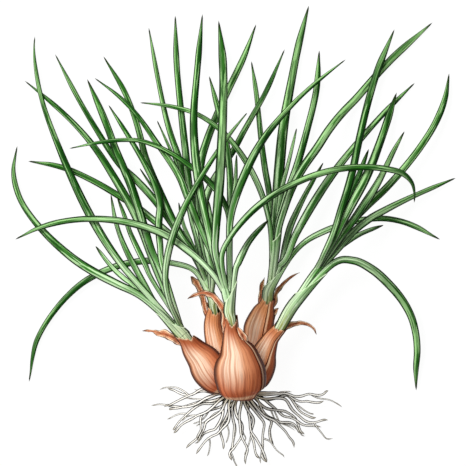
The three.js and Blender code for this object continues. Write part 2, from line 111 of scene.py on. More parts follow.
def make_draw(seed):
    """Even numbers between 0 and 1, the same in every run."""
    state = seed
    while True:
        state = state * DRAW_STEP % DRAW_RANGE
        yield state / DRAW_RANGE


def smooth(points, parts):
    """Points of a smooth line through the given ones, with a number of parts between each two.

    A handle is a sixth of the way between the neighbours of its point.
    """
    line = []
    last = len(points) - 1
    for k in range(last):
        here, there = points[k], points[k + 1]
        before, after = points[max(k - 1, 0)], points[min(k + 2, last)]
        leave = here + (there - before) / 6
        reach = there - (after - here) / 6
        line += interpolate_bezier(here, leave, reach, there, parts + 1)[:-1]
    return line + [points[last]]


class Track:
    """The line of a tube through stations (x, y, z, half width, half depth)."""

    def __init__(self, stations, parts):
        self.line = smooth([Vector(station[:3]) for station in stations], parts)
        self.sizes = smooth([Vector((*station[3:], 0)) for station in stations], parts)
        steps = list(zip(self.line, self.line[1:]))
        self.lengths = list(accumulate(((b - a).length for a, b in steps), initial=0.0))
        self.length = self.lengths[-1]
        last = len(steps)
        self.ways = [
            (self.line[min(k + 1, last)] - self.line[max(k - 1, 0)]).normalized()
            for k in range(last + 1)
        ]

    def frame(self, length):
        """Middle, directions across and up, and half sizes at a length along the line."""
        k = min(max(bisect_right(self.lengths, length) - 1, 0), len(self.line) - 2)
        share = (length - self.lengths[k]) / (self.lengths[k + 1] - self.lengths[k])
        way = self.ways[k].lerp(self.ways[k + 1], share)
        side = way.cross(UP).normalized()
        middle = self.line[k].lerp(self.line[k + 1], share)
        size = self.sizes[k].lerp(self.sizes[k + 1], share)
        return middle, side, side.cross(way).normalized(), size

    def skin(self, length, turn, swell=1.0):
        """The place on the tube's skin, a turn of 0 being under it and 0.5 on top."""
        middle, side, up, size = self.frame(length)
        angle = 2 * math.pi * turn - math.pi / 2
        across = side * (size.x * math.cos(angle))
        return middle + (across + up * (size.y * math.sin(angle))) * swell


def form_sheet(bm, across, rows, place, marks=(), turns=None):
    """Forms a flat sheet into a shape: place(turn, share) says where each point of it goes.

    Marks are values that its points carry, and turns moves a point round before it is placed.
    """
    uv = bm.loops.layers.uv.verify()
    floats = bm.verts.layers.float
    layers = [(floats.get(name) or floats.new(name), value) for name, value in marks]
    made = bmesh.ops.create_grid(bm, x_segments=across, y_segments=rows, size=0.5, calc_uvs=True)
    for vert in made["verts"]:
        turn, share = vert.co.x + 0.5, vert.co.y + 0.5
        for layer, value in layers:
            vert[layer] = value(turn, share)
        if turns:
            turn = turns(turn, share)
            for loop in vert.link_loops:
                loop[uv].uv.x = turn
        vert.co = place(turn, share)
    bmesh.ops.remove_doubles(bm, verts=made["verts"], dist=WELD)


def make_piece(bm, name, material):
    """Turns a mesh's faces outwards and makes it an object."""
    bmesh.ops.recalc_face_normals(bm, faces=bm.faces)
    for face in bm.faces:
        face.smooth = True
    mesh = bpy.data.meshes.new(name)
    bm.to_mesh(mesh)
    bm.free()
    mesh.materials.append(material)
    piece = bpy.data.objects.new(name, mesh)
    bpy.context.scene.collection.objects.link(piece)
    return piece


def paint(red, green, blue):
    """A colour from its values as seen, 0 to 255."""
    seen = Color((red / 255, green / 255, blue / 255))
    return (*seen.from_srgb_to_scene_linear(), 1)


def add_node(tree, kind, inputs=None, **settings):
    """A shader node whose inputs are values or other nodes' outputs."""
    made = tree.nodes.new("ShaderNode" + kind)
    for name, value in settings.items():
        setattr(made, name, value)
    for key, value in (inputs or {}).items():
        if isinstance(value, bpy.types.NodeSocket):
            tree.links.new(value, made.inputs[key])
        else:
            made.inputs[key].default_value = value
    return made


def sums(tree, operation, *terms):
    """The result of one sum on values or other nodes' outputs."""
    return add_node(tree, "Math", dict(enumerate(terms)), operation=operation).outputs[0]


def span(tree, value, low, high, start=0.0, end=1.0):
    """A smooth step from start to end while a value goes from low to high."""
    ends = {"Value": value, "From Min": low, "From Max": high, "To Min": start, "To Max": end}
    return add_node(tree, "MapRange", ends, interpolation_type="SMOOTHSTEP").outputs["Result"]


def ramp(tree, value, stops):
    """A colour that runs through stops (place, colour) as a value goes from 0 to 1."""
    made = add_node(tree, "ValToRGB", {"Fac": value})
    elements = made.color_ramp.elements
    while len(elements) < len(stops):
        elements.new(1.0)
    for element, (place, colour) in zip(elements, stops):
        element.position = place
        element.color = paint(*colour)
    return made.outputs["Color"]


def cover(tree, share, below, above):
    """A colour, plain or from another node, laid over the one below by a share."""
    if not isinstance(above, bpy.types.NodeSocket):
        above = paint(*above)
    return add_node(tree, "Mix", {0: share, 6: below, 7: above}, data_type="RGBA").outputs[2]


def lay(tree, body, colour, value, low, high, strength=1.0):
    """A colour laid over a body while a value goes from low to high, up to a strength."""
    return cover(tree, span(tree, value, low, high, 0.0, strength), body, colour)


def new_material(name, roughness, gloss):
    """A material, with its node tree and its shader."""
    material = bpy.data.materials.new(name)
    material.use_nodes = True
    shader = material.node_tree.nodes["Principled BSDF"]
    shader.inputs["Roughness"].default_value = roughness
    shader.inputs["Specular IOR Level"].default_value = gloss
    return material, material.node_tree, shader


# The lines that run along every grown piece: how far a point is round to the upper flanks and to
# the top, and fine streaks that follow the piece's length.
grown = bpy.data.node_groups.new("grown_lines", "ShaderNodeTree")
grown.interface.new_socket("UV", in_out="INPUT", socket_type="NodeSocketVector")
grown.interface.new_socket("Round", in_out="INPUT", socket_type="NodeSocketFloat")
grown.interface.new_socket("Along", in_out="INPUT", socket_type="NodeSocketFloat")
grown.interface.new_socket("Shift", in_out="INPUT", socket_type="NodeSocketFloat")
for output in ("Flank", "Top", "Right", "Streaks", "Fine"):
    grown.interface.new_socket(output, in_out="OUTPUT", socket_type="NodeSocketFloat")
given = grown.nodes.new("NodeGroupInput")
parts = add_node(grown, "SeparateXYZ", {0: given.outputs["UV"]})
angle = sums(grown, "MULTIPLY", parts.outputs["X"], 2 * math.pi)
right = sums(grown, "SINE", angle)
top = sums(grown, "MULTIPLY", sums(grown, "COSINE", angle), -1.0)
along = sums(grown, "MULTIPLY", parts.outputs["Y"], given.outputs["Along"])
wrapped = add_node(grown, "CombineXYZ", {
    "X": sums(grown, "MULTIPLY", right, given.outputs["Round"]),
    "Y": sums(grown, "MULTIPLY", top, given.outputs["Round"]),
    "Z": sums(grown, "ADD", along, given.outputs["Shift"]),
})
streaks = add_node(grown, "TexNoise", {
    "Vector": wrapped.outputs[0], "Scale": 1.0, "Detail": STREAK_DETAIL,
})
fine = add_node(grown, "TexNoise", {
    "Vector": wrapped.outputs[0], "Scale": FINE_SCALE, "Detail": FINE_DETAIL,
})
found = grown.nodes.new("NodeGroupOutput")
upper = span(grown, top, -UPPER_EDGE, UPPER_EDGE)
flank = sums(grown, "MULTIPLY", sums(grown, "ABSOLUTE", right), upper)
grown.links.new(flank, found.inputs["Flank"])
grown.links.new(top, found.inputs["Top"])
grown.links.new(right, found.inputs["Right"])
grown.links.new(streaks.outputs["Fac"], found.inputs["Streaks"])
grown.links.new(fine.outputs["Fac"], found.inputs["Fine"])


def place_lines(tree, round_count, along_count, shift=None):
    """The grown lines in a material, with their numbers round and along the piece."""
    lines = tree.nodes.new("ShaderNodeGroup")
    lines.node_tree = grown
    tree.links.new(add_node(tree, "UVMap").outputs["UV"], lines.inputs["UV"])
    lines.inputs["Round"].default_value = round_count
    lines.inputs["Along"].default_value = along_count
    if shift is not None:
        tree.links.new(shift, lines.inputs["Shift"])
    return lines.outputs


def mark(tree, name):
    """A value that a piece's points carry."""
    return add_node(tree, "Attribute", attribute_name=name).outputs["Fac"]


root_skin, tree, shader = new_material("root_skin", roughness=0.75, gloss=0.04)
lines = place_lines(tree, round_count=1.2, along_count=9.0)
body = ramp(tree, mark(tree, "reach"), ROOT_COLOURS)
body = lay(tree, body, ROOT_STREAK, lines["Streaks"], 0.56, 0.74, 0.3)
# Painted shade: the roots' upper flanks are painted near black, as where a round root turns away
# from the light.
body = lay(tree, body, ROOT_FLANK_SHADE, lines["Flank"], 0.34, 0.54, 0.99)
tree.links.new(body, shader.inputs["Base Color"])
bump = add_node(tree, "Bump", {"Height": lines["Fine"], "Strength": 0.25, "Distance": 0.0004})
tree.links.new(bump.outputs["Normal"], shader.inputs["Normal"])


def root_stations(angle, length, start, end, sway, turns, phase):
    """Stations of one root: out from the crown, winding, and down to the surface."""
    along = Vector((math.cos(angle), math.sin(angle), 0))
    aside = Vector((-along.y, along.x, 0))
    stations = []
    for k in range(ROOT_STATIONS + 1):
        share = k / ROOT_STATIONS
        wind = 2 * math.pi * turns * share + phase
        middle = CROWN_AT + Vector((ROOT_SPREAD * CROWN_HALF.x * along.x, 0, 0))
        middle += along * (length * share) + aside * (sway * math.sqrt(share) * math.sin(wind))
        middle += noise.noise_vector(middle * KINK_SCALE) * (ROOT_KINK * share)
        radius = lerp(ROOT_RADIUS, ROOT_END_RADIUS, share)
        height = lerp(start, end, share ** ROOT_SINK) + sway / 2 * share * math.cos(wind)
        radius *= 1 + ROOT_UNEVEN * noise.noise(middle * UNEVEN_SCALE)
        middle.z = max(radius, height)
        stations.append((*middle, radius, radius))
    return stations


def side_root_stations(foot, angle, lean, length):
    """Stations of a side root: off at a lean, and turning back to the way of its own root."""
    stations = []
    for k in range(SIDE_ROOT_STATIONS + 1):
        share = k / SIDE_ROOT_STATIONS
        bend = angle + lean * (1 - SIDE_ROOT_TURN * share)
        middle = foot + Vector((math.cos(bend), math.sin(bend), 0)) * (length * share)
        middle += noise.noise_vector(middle * KINK_SCALE) * (ROOT_KINK * share)
        radius = SIDE_ROOT_RADIUS * (1 - SIDE_ROOT_TAPER * share)
        middle.z = max(SIDE_ROOT_RADIUS, lerp(foot.z, 0, share))
        stations.append((*middle, radius, radius))
    return stations


def add_root(bm, stations, sides, first_reach, last_reach):
    """A root through stations, closed to a point at the last one."""
    track = Track([*stations[:-1], (*stations[-1][:3], 0, 0)], ROOT_PARTS)
    rows = ROWS_PER_STATION * len(stations)
    marks = [("reach", lambda turn, share: lerp(first_reach, last_reach, share))]
    form_sheet(bm, sides, rows, lambda turn, share: track.skin(share * track.length, turn), marks)


bm = bmesh.new()
bm.verts.layers.float.new("reach")
crown = bmesh.ops.create_uvsphere(bm, u_segments=CROWN_SIDES, v_segments=CROWN_RINGS, radius=1)
for vert in crown["verts"]:
    rough = 1 + CROWN_ROUGHNESS / CROWN_HALF.y * noise.noise(vert.co * CROWN_BUMPS)
    vert.co = CROWN_AT + vert.co * CROWN_HALF * rough
noise.seed_set(KINK_SEED)
draw = make_draw(ROOT_SEED)
side_draw = make_draw(2 * ROOT_SEED)
for k in range(ROOT_COUNT):
    angle = lerp(*ROOT_FAN, (k + next(draw)) / ROOT_COUNT)
    length = lerp(*ROOT_LENGTH, next(draw)) + ROOT_REACH * max(0, math.cos(angle))
    start = CROWN_AT.z + lerp(*ROOT_START, next(draw))
    end = lerp(*ROOT_END, next(draw))
    sway = lerp(*ROOT_SWAY, next(draw))
    turns = lerp(*ROOT_TURNS, next(draw))
    phase = 2 * math.pi * next(draw)
    stations = root_stations(angle, length, start, end, sway, turns, phase)
    add_root(bm, stations, ROOT_SIDES, 0, 1)
    joint = int(lerp(*SIDE_ROOT_JOINT, next(side_draw)) * ROOT_STATIONS)
    lean = lerp(*SIDE_ROOT_LEAN, next(side_draw)) * (1 if next(side_draw) > 0.5 else -1)
    reach_out = lerp(*SIDE_ROOT_LENGTH, next(side_draw))
    branch = side_root_stations(Vector(stations[joint][:3]), angle, lean, reach_out)
    add_root(bm, branch, SIDE_ROOT_SIDES, joint / ROOT_STATIONS, 1)
bmesh.ops.holes_fill(bm, edges=bm.edges, sides=0)
roots = make_piece(bm, "roots", root_skin)
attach(roots, "root")
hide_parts("root_tuft")

# Bulbs: five shallots grown from one crown and pressed together, wrapped in dry copper skin with
# fine veins from the base to the mouth. The skin is torn to a ragged rim round the neck and runs
# out in twisted papery tails, and on three of them a last outer layer still covers one side.

# Stations (x, y, z, half width, half depth) run from the neck to the base, with the mouth at the
# second. The rim is how far the skin reaches past the mouth at even turns round it. A layer has the
# turns of its edge at the mouth and at the base, and a tail has stations (x, y, z, half width).
# Each bulb also has an amount of painted light: how much lighter it is painted, to lift the bulbs
# that lie in shade.
BULBS = {
    "front": {
        "painted_light": 0.0, "layer": (0.63, 0.67),
        "stations": (
            (-0.004, -0.050, 0.0453, 0.0046, 0.0046), (-0.002, -0.061, 0.0440, 0.0041, 0.0041),
            (-0.002, -0.0685, 0.0430, 0.0059, 0.0059), (0.000, -0.077, 0.0420, 0.0098, 0.0096),
            (0.002, -0.084, 0.0410, 0.0140, 0.0136), (0.003, -0.093, 0.0400, 0.0176, 0.0170),
            (0.004, -0.102, 0.0390, 0.0178, 0.0170), (0.004, -0.1085, 0.0378, 0.0157, 0.0150),
            (0.0045, -0.1136, 0.0368, 0.0110, 0.0106), (0.0045, -0.1156, 0.0364, 0.0067, 0.0065),
            (0.0045, -0.1169, 0.0362, 0, 0),
        ),
        "rim": (0.004, 0.006, 0.008, 0.003, -0.003, 0.000, 0.003, 0.004),
        "tails": (
            ((-0.006, -0.074, 0.0415, 0.0012), (-0.007, -0.0645, 0.0405, 0.0020),
                (-0.007, -0.0555, 0.0400, 0.0023), (-0.0102, -0.0488, 0.0395, 0.0023),
                (-0.0144, -0.0440, 0.0385, 0.0021), (-0.0192, -0.0413, 0.0370, 0.0020),
                (-0.0246, -0.0416, 0.0350, 0.0014), (-0.0295, -0.0434, 0.0330, 0.0009),
                (-0.033, -0.0455, 0.0310, 0)),
            ((0.0092, -0.0790, 0.0455, 0.0020), (0.0068, -0.0732, 0.0468, 0.0024),
                (0.0040, -0.0682, 0.0474, 0.0019), (0.0012, -0.0640, 0.0476, 0)),
        ),
    },
    "left": {
        "painted_light": 0.0,
        "stations": (
            (-0.0415, -0.0645, 0.0215, 0.0052, 0.0052), (-0.0345, -0.0725, 0.0220, 0.0052, 0.0052),
            (-0.029, -0.0805, 0.0210, 0.0082, 0.0078), (-0.022, -0.088, 0.0200, 0.0117, 0.0110),
            (-0.017, -0.096, 0.0200, 0.0128, 0.0120), (-0.012, -0.1035, 0.0205, 0.0106, 0.0100),
            (-0.008, -0.1085, 0.0215, 0.0060, 0.0060), (-0.006, -0.1115, 0.0220, 0, 0),
        ),
        "rim": (0.001, 0.004, 0.006, 0.003, -0.001, -0.003, -0.0045, -0.002),
        "tails": (
            ((-0.0335, -0.0800, 0.0200, 0.0016), (-0.0390, -0.0753, 0.0182, 0.0022),
                (-0.0435, -0.0722, 0.0175, 0.0026), (-0.0485, -0.0702, 0.0155, 0.0029),
                (-0.0535, -0.0692, 0.0140, 0.0026), (-0.0570, -0.0683, 0.0125, 0.0012),
                (-0.0605, -0.0678, 0.0115, 0.0009), (-0.0647, -0.0679, 0.0100, 0)),
        ),
    },
    "right": {
        "painted_light": 0.3, "layer": (0.62, 0.47),
        "stations": (
            (0.038, -0.0565, 0.0210, 0.0042, 0.0042), (0.032, -0.0655, 0.0210, 0.0041, 0.0041),
            (0.028, -0.070, 0.0205, 0.0050, 0.0050), (0.025, -0.074, 0.0200, 0.0060, 0.0060),
            (0.021, -0.0825, 0.0190, 0.0085, 0.0083), (0.0185, -0.091, 0.0190, 0.0104, 0.0098),
            (0.016, -0.0995, 0.0195, 0.0098, 0.0092), (0.014, -0.1055, 0.0205, 0.0070, 0.0066),
            (0.0125, -0.110, 0.0215, 0, 0),
        ),
        "rim": (0.002, 0.002, 0.0025, -0.002, -0.002, 0.000, 0.0015, 0.002),
        "tails": (
            ((0.0285, -0.0710, 0.0190, 0.0016), (0.0350, -0.0662, 0.0168, 0.0021),
                (0.0396, -0.0637, 0.0155, 0.0020), (0.0438, -0.0627, 0.0145, 0.0017),
                (0.0480, -0.0623, 0.0138, 0.0014), (0.0522, -0.0637, 0.0128, 0.0011),
                (0.0557, -0.0665, 0.0115, 0.0008), (0.0575, -0.0704, 0.0100, 0)),
        ),
    },
    "back_left": {
        "painted_light": 0.45,
        "stations": (
            (-0.0165, -0.043, 0.0105, 0.0043, 0.0043), (-0.0145, -0.0525, 0.0095, 0.0042, 0.0042),
            (-0.015, -0.058, 0.0090, 0.0056, 0.0054), (-0.015, -0.065, 0.0085, 0.0066, 0.0063),
            (-0.013, -0.075, 0.0080, 0.0076, 0.0074), (-0.0095, -0.087, 0.0078, 0.0083, 0.0084),
            (-0.0055, -0.098, 0.0090, 0.0074, 0.0074), (-0.0025, -0.1055, 0.0120, 0.0046, 0.0046),
            (0.000, -0.1105, 0.0150, 0, 0),
        ),
        "rim": (0.003, 0.005, 0.007, 0.001, -0.003, -0.002, 0.001, 0.002),
        "tails": (
            ((-0.0180, -0.0600, 0.0080, 0.0015), (-0.0205, -0.0530, 0.0062, 0.0017),
                (-0.0220, -0.0460, 0.0045, 0.0018), (-0.0234, -0.0406, 0.0034, 0.0022),
                (-0.0262, -0.0350, 0.0028, 0.0023), (-0.0290, -0.0315, 0.0024, 0.0014),
                (-0.0308, -0.0298, 0.0022, 0)),
        ),
    },
    "back_right": {
        "painted_light": 0.6, "layer": (0.54, 0.6),
        "stations": (
            (0.025, -0.037, 0.0110, 0.0050, 0.0050), (0.023, -0.0475, 0.0100, 0.0046, 0.0046),
            (0.0205, -0.0545, 0.0090, 0.0080, 0.0068), (0.017, -0.065, 0.0083, 0.0103, 0.0088),
            (0.0155, -0.072, 0.0080, 0.0095, 0.0087), (0.0135, -0.081, 0.0079, 0.0084, 0.0085),
            (0.012, -0.0915, 0.0085, 0.0076, 0.0076), (0.011, -0.102, 0.0115, 0.0052, 0.0052),
            (0.010, -0.109, 0.0150, 0, 0),
        ),
        "rim": (0.003, 0.004, 0.006, 0.001, -0.001, 0.001, 0.004, 0.003),
        "tails": (
            ((0.0180, -0.0540, 0.0075, 0.0015), (0.0183, -0.0462, 0.0060, 0.0016),
                (0.0186, -0.0406, 0.0045, 0.0016), (0.0193, -0.0350, 0.0036, 0.0013),
                (0.0212, -0.0304, 0.0030, 0)),
            ((0.0245, -0.0540, 0.0070, 0.0016), (0.0280, -0.0483, 0.0060, 0.0018),
                (0.0286, -0.0434, 0.0050, 0.0019), (0.0312, -0.0378, 0.0038, 0.0017),
                (0.0361, -0.0329, 0.0030, 0.0012), (0.0410, -0.0294, 0.0024, 0.0008),
                (0.0459, -0.0270, 0.0020, 0)),
            ((0.0225, -0.0640, 0.0105, 0.0030), (0.0255, -0.0575, 0.0095, 0.0030),
                (0.0285, -0.0540, 0.0080, 0.0017), (0.0310, -0.0520, 0.0065, 0)),
        ),
    },
}
BULB_SIDES = 96
BULB_ROWS = 90
BULB_PARTS = 10
SKIN_THICKNESS = 0.00025
RIM_TEAR = 0.0016
TEAR_SCALES = (5, 11)
RIB_DEPTH = 0.012
RIB_SCALE = 4
WRINKLE_DEPTH = 0.07
WRINKLE_REACH = 0.016
WRINKLE_SCALE = 3
WRINKLE_RUN = 90
MOUTH_FLARE = 0.12
SMOOTH_BASE = 0.9
BASE_ROUND = 1.4
LAYER_LIFT = 0.03
LAYER_MARK = 0.02
TAIL_ACROSS = 14
TAIL_ROWS = 90
TAIL_PARTS = 12
TAIL_SEED_STEP = 7
TAIL_RAGGED = 0.55
RAGGED_SCALE = 190
RAGGED_ROW = 2
TAIL_ROLL = 0.9
ROLL_SCALE = 75
ROLL_ROW = 7.5
ROLL_SEED = 0.5
TAIL_CURL = 0.4
TAIL_CRINKLE = 1.0
CRINKLE_SCALE = 230
CRINKLE_ACROSS = 1.6
CRINKLE_SEED = 0.3
FLOOR_GAP = 0.0001
# The skin from the rim to the base: a pale torn rim, copper, then a pale band low down that is a
# painted reflected light where the skin turns under, and dark brown at the base.
SKIN_COLOURS = (
    (0.0, (232, 200, 164)), (0.025, (158, 88, 54)), (0.12, (182, 98, 60)), (0.35, (204, 120, 78)),
    (0.7, (198, 108, 66)), (0.89, (184, 92, 54)), (0.92, (240, 194, 154)),
    (0.938, (226, 170, 130)), (0.952, (70, 28, 12)), (1.0, (46, 18, 8)),
)
SKIN_SOFT_HIGHLIGHT = (226, 166, 124)
SKIN_PAINTED_LIGHT = (255, 178, 120)
SKIN_STREAK = (138, 56, 24)
SKIN_LIGHT_GRAIN = (220, 160, 112)
SKIN_DARK_GRAIN = (108, 40, 16)
SKIN_VEIN = (120, 48, 22)
SKIN_FINE_VEIN = (112, 46, 22)
SKIN_HIGHLIGHT = (238, 214, 190)
SKIN_SHADE = (124, 46, 20)
SKIN_FLANK_SHADE = (60, 20, 8)
LAYER_SHADE = (134, 48, 22)
LAYER_CREAM = (252, 214, 176)
LAYER_EDGE_AND_SHADOW = (84, 30, 12)
TAIL_COLOURS = (
    (0.0, (96, 48, 26)), (0.03, (248, 222, 192)), (0.26, (240, 202, 166)),
    (0.45, (206, 132, 94)), (0.75, (236, 176, 136)), (1.0, (182, 108, 74)),
)
TAIL_VEIN = (92, 42, 20)
TAIL_POINT = (64, 30, 14)

dry_skin, tree, shader = new_material("dry_skin", roughness=0.42, gloss=0.06)
lines = place_lines(tree, round_count=3.4, along_count=0.9)
veins = place_lines(tree, round_count=8.5, along_count=1.3)
height = mark(tree, "height")
layer = mark(tree, "layer")
body = ramp(tree, height, SKIN_COLOURS)
# Painted soft highlight: the upper side of each bulb that faces the light is painted lighter,
# between the rim and the base.
light_facing = sums(tree, "MULTIPLY", lines["Right"], 0.34)
light_facing = sums(tree, "MULTIPLY_ADD", lines["Top"], 0.94, light_facing)
highlight_band = sums(tree, "MULTIPLY", span(tree, height, 0.05, 0.3), span(tree, height, 0.9, 0.5))
soft_highlight = sums(tree, "MULTIPLY", highlight_band, span(tree, light_facing, 0.3, 0.95, 0.0, 0.65))
body = cover(tree, soft_highlight, body, SKIN_SOFT_HIGHLIGHT)
# Painted light: bulbs that lie in the shade of the others are painted lighter, each by its own
# amount.
body = cover(tree, mark(tree, "painted_light"), body, SKIN_PAINTED_LIGHT)
body = lay(tree, body, SKIN_STREAK, lines["Streaks"], 0.52, 0.68, 0.24)
body = lay(tree, body, SKIN_LIGHT_GRAIN, lines["Fine"], 0.45, 0.37, 0.2)
body = lay(tree, body, SKIN_DARK_GRAIN, lines["Fine"], 0.55, 0.63, 0.3)
body = lay(tree, body, SKIN_VEIN, veins["Streaks"], 0.52, 0.62, 0.42)
body = lay(tree, body, SKIN_FINE_VEIN, veins["Fine"], 0.53, 0.62, 0.4)
# Painted highlight: a pale streaky patch where the upper side faces the light most squarely.
light = sums(tree, "MULTIPLY", highlight_band, span(tree, light_facing, 0.78, 0.99))
light = sums(tree, "MULTIPLY", light, span(tree, veins["Streaks"], 0.6, 0.42, 0.25, 0.8))
body = cover(tree, light, body, SKIN_HIGHLIGHT)
# Painted shade on the side of each bulb that is turned away from the light.
body = lay(tree, body, SKIN_SHADE, lines["Right"], -0.25, -0.95, 0.45)
# The outer layer is painted darker as painted shade, with a cream band inside its edge and a dark
# line at the edge itself, partly the torn edge and partly a painted shadow where it overlaps the
# skin below.
body = lay(tree, body, LAYER_SHADE, layer, 0.08, 0.14, 0.5)
edge = sums(tree, "MULTIPLY", span(tree, layer, 0.045, 0.055), span(tree, layer, 0.11, 0.09))
body = cover(tree, sums(tree, "MULTIPLY", edge, 0.75), body, LAYER_CREAM)
edge = sums(tree, "MULTIPLY", span(tree, layer, 0.0, 0.01), span(tree, layer, 0.05, 0.04))
body = cover(tree, edge, body, LAYER_EDGE_AND_SHADOW)
# Painted shade: the bulb's upper flanks are painted near black, as where its round side turns away
# from the light.
body = lay(tree, body, SKIN_FLANK_SHADE, lines["Flank"], 0.76, 0.96, 0.96)
scrap = ramp(tree, span(tree, lines["Top"], -1.0, 1.0), TAIL_COLOURS)
scrap = lay(tree, scrap, TAIL_VEIN, veins["Streaks"], 0.5, 0.62, 0.5)
scrap = lay(tree, scrap, TAIL_POINT, height, 0.84, 1.0, 0.9)
body = cover(tree, mark(tree, "papery"), body, scrap)
tree.links.new(body, shader.inputs["Base Color"])
rough = span(tree, lines["Fine"], 0.3, 0.7, 0.36, 0.58)
tree.links.new(rough, shader.inputs["Roughness"])
bump = add_node(tree, "Bump", {"Height": veins["Streaks"], "Strength": 0.35, "Distance": 0.0005})
tree.links.new(bump.outputs["Normal"], shader.inputs["Normal"])


def fixed(value):
    """A mark that is the same all over a piece."""
    return lambda turn, share: value


def round_value(values, turn):
    """A value round a piece, eased between the given ones, which are spread evenly."""
    place = turn % 1 * len(values)
    k = int(place)
    return lerp(values[k % len(values)], values[(k + 1) % len(values)], ease(0, 1, place - k))


def down(share):
    """Place down a bulb of a share of its rows, which stand closer towards the base."""
    return 1 - (1 - share) ** BASE_ROUND


def add_bulb(bm, bulb, seed):
    """A bulb's skin from its torn rim to its base, and the outer layer over one side of it."""
    stations, rim, painted_light = bulb["stations"], bulb["rim"], bulb["painted_light"]
    track = Track(stations, BULB_PARTS)
    mouth = (Vector(stations[1][:3]) - Vector(stations[0][:3])).length

    def place(turn, share, lift=0.0):
        around = Vector((math.cos(2 * math.pi * turn), math.sin(2 * math.pi * turn), seed))
        tear = sum(RIM_TEAR * noise.noise(around * scale) for scale in TEAR_SCALES)
        start = mouth - round_value(rim, turn) + tear
        length = lerp(start, track.length, down(share))
        ribs = RIB_DEPTH * noise.noise(around * RIB_SCALE)
        near = 1 - ease(0, WRINKLE_REACH, length - start)
        run = Vector((0, 0, WRINKLE_RUN * length))
        wrinkles = WRINKLE_DEPTH * near * noise.noise(around * WRINKLE_SCALE + run)
        uneven = (ribs + wrinkles) * (1 - ease(SMOOTH_BASE, 1, share))
        swell = 1 + uneven + MOUTH_FLARE * near * near
        point = track.skin(length, turn, swell + lift)
        point.z = max(point.z, FLOOR_GAP)
        return point

    marks = [
        ("height", lambda turn, share: down(share)),
        ("papery", fixed(0.0)),
        ("painted_light", fixed(painted_light)),
    ]
    form_sheet(bm, BULB_SIDES, BULB_ROWS, place, marks)
    if "layer" in bulb:
        mouth_turn, base_turn = bulb["layer"]
        form_sheet(
            bm, BULB_SIDES, BULB_ROWS, lambda turn, share: place(turn, share, LAYER_LIFT),
            [*marks, ("layer", lambda turn, share: LAYER_MARK + turn)],
            turns=lambda turn, share: lerp(lerp(mouth_turn, base_turn, share), 1, turn),
        )


def add_tail(bm, route, seed):
    """A flat strip of dry skin, ragged, crinkled and turned a little."""
    track = Track([(*point, 0) for point in route], TAIL_PARTS)

    def place(turn, share):
        length = share * track.length
        middle, side, up, size = track.frame(length)
        across = 2 * turn - 1
        edge = (length * RAGGED_SCALE, math.copysign(RAGGED_ROW, across), seed)
        wide = size.x * (1 + TAIL_RAGGED * noise.noise(edge))
        roll = TAIL_ROLL * noise.noise((length * ROLL_SCALE, ROLL_ROW, seed + ROLL_SEED))
        creases = (length * CRINKLE_SCALE, across * CRINKLE_ACROSS, seed + CRINKLE_SEED)
        crinkle = TAIL_CRINKLE * noise.noise(creases)
        lift = wide * (TAIL_CURL * across * across + crinkle)
        flat = side * math.cos(roll) + up * math.sin(roll)
        crown = up * math.cos(roll) - side * math.sin(roll)
        point = middle + flat * (wide * across) + crown * lift
        point.z = max(point.z, FLOOR_GAP)
        return point

    marks = [
        ("height", lambda turn, share: share),
        ("papery", fixed(1.0)),
        ("painted_light", fixed(0.0)),
    ]
    form_sheet(bm, TAIL_ACROSS, TAIL_ROWS, place, marks)


for seed, (name, bulb) in enumerate(BULBS.items()):
    bm = bmesh.new()
    add_bulb(bm, bulb, seed)
    for k, route in enumerate(bulb["tails"]):
        add_tail(bm, route, seed + TAIL_SEED_STEP * k)
    piece = make_piece(bm, f"{name}_bulb", dry_skin)
    wall = piece.modifiers.new("skin", "SOLIDIFY")
    wall.thickness = SKIN_THICKNESS
    wall.offset = -1
    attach(piece, "root")
    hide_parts(f"bulb_{name}")

# Necks: the pale bases of a shoot's leaves, wrapped round each other as they come out of the
# bulb. The outermost one is a sheath with a slanting rim, which runs up into its own blade. In one
# shoot a taller sheath stands up out of it, round the feet of the other leaves.

# A stem has radii at its foot and its head, and the number of the outer leaf that wraps the others.
# That leaf's rim lies between two lengths up the stem, and is highest at the turn of its high side.
# A column is the taller sheath, with stations and a rim of its own.
NECKS = {
    "front": {
        "stem": ((-0.002, -0.061, 0.044), (-0.0035, -0.051, 0.045), (-0.006, -0.041, 0.046)),
        "radii": (0.0034, 0.0046), "outer": 10, "rim": (0.015, 0.032), "high_side": 0.27,
    },
    "left": {
        "stem": ((-0.0345, -0.0725, 0.022), (-0.0375, -0.0692, 0.0218), (-0.0402, -0.0662, 0.0215)),
        "radii": (0.0044, 0.0048), "outer": 4, "rim": (0.006, 0.028), "high_side": 0.73,
    },
    "right": {
        "stem": ((0.032, -0.0655, 0.021), (0.0433, -0.047, 0.021), (0.0578, -0.026, 0.0205)),
        "radii": (0.0038, 0.0046), "outer": 8, "rim": (0.026, 0.052), "high_side": 0.27,
    },
    "back_left": {
        "stem": ((-0.0145, -0.0525, 0.0095), (-0.0165, -0.043, 0.0105), (-0.019, -0.033, 0.011)),
        "radii": (0.0033, 0.0033), "outer": 1, "rim": (0.013, 0.036), "high_side": 0.73,
    },
    "back_right": {
        "stem": ((0.023, -0.0475, 0.010), (0.025, -0.037, 0.011), (0.0275, -0.025, 0.0115)),
        "radii": (0.0039, 0.0037), "outer": 1, "rim": (0.010, 0.036), "high_side": 0.27,
        "column": (
            (0.0246, -0.0450, 0.0108, 0.0026, 0.0026), (0.0263, -0.0300, 0.0114, 0.0029, 0.0032),
            (0.0284, -0.0123, 0.0152, 0.0032, 0.0066), (0.0291, 0.0020, 0.0190, 0.0040, 0.0100),
            (0.0293, 0.0080, 0.0198, 0.0042, 0.0104),
        ),
        "column_rim": (0.042, 0.050),
    },
}
NECK_SIDES = 40
NECK_ROWS = 60
NECK_PARTS = 10
NECK_SINK = 0.010
NECK_TIP = 0.022
NECK_CORE = 0.72
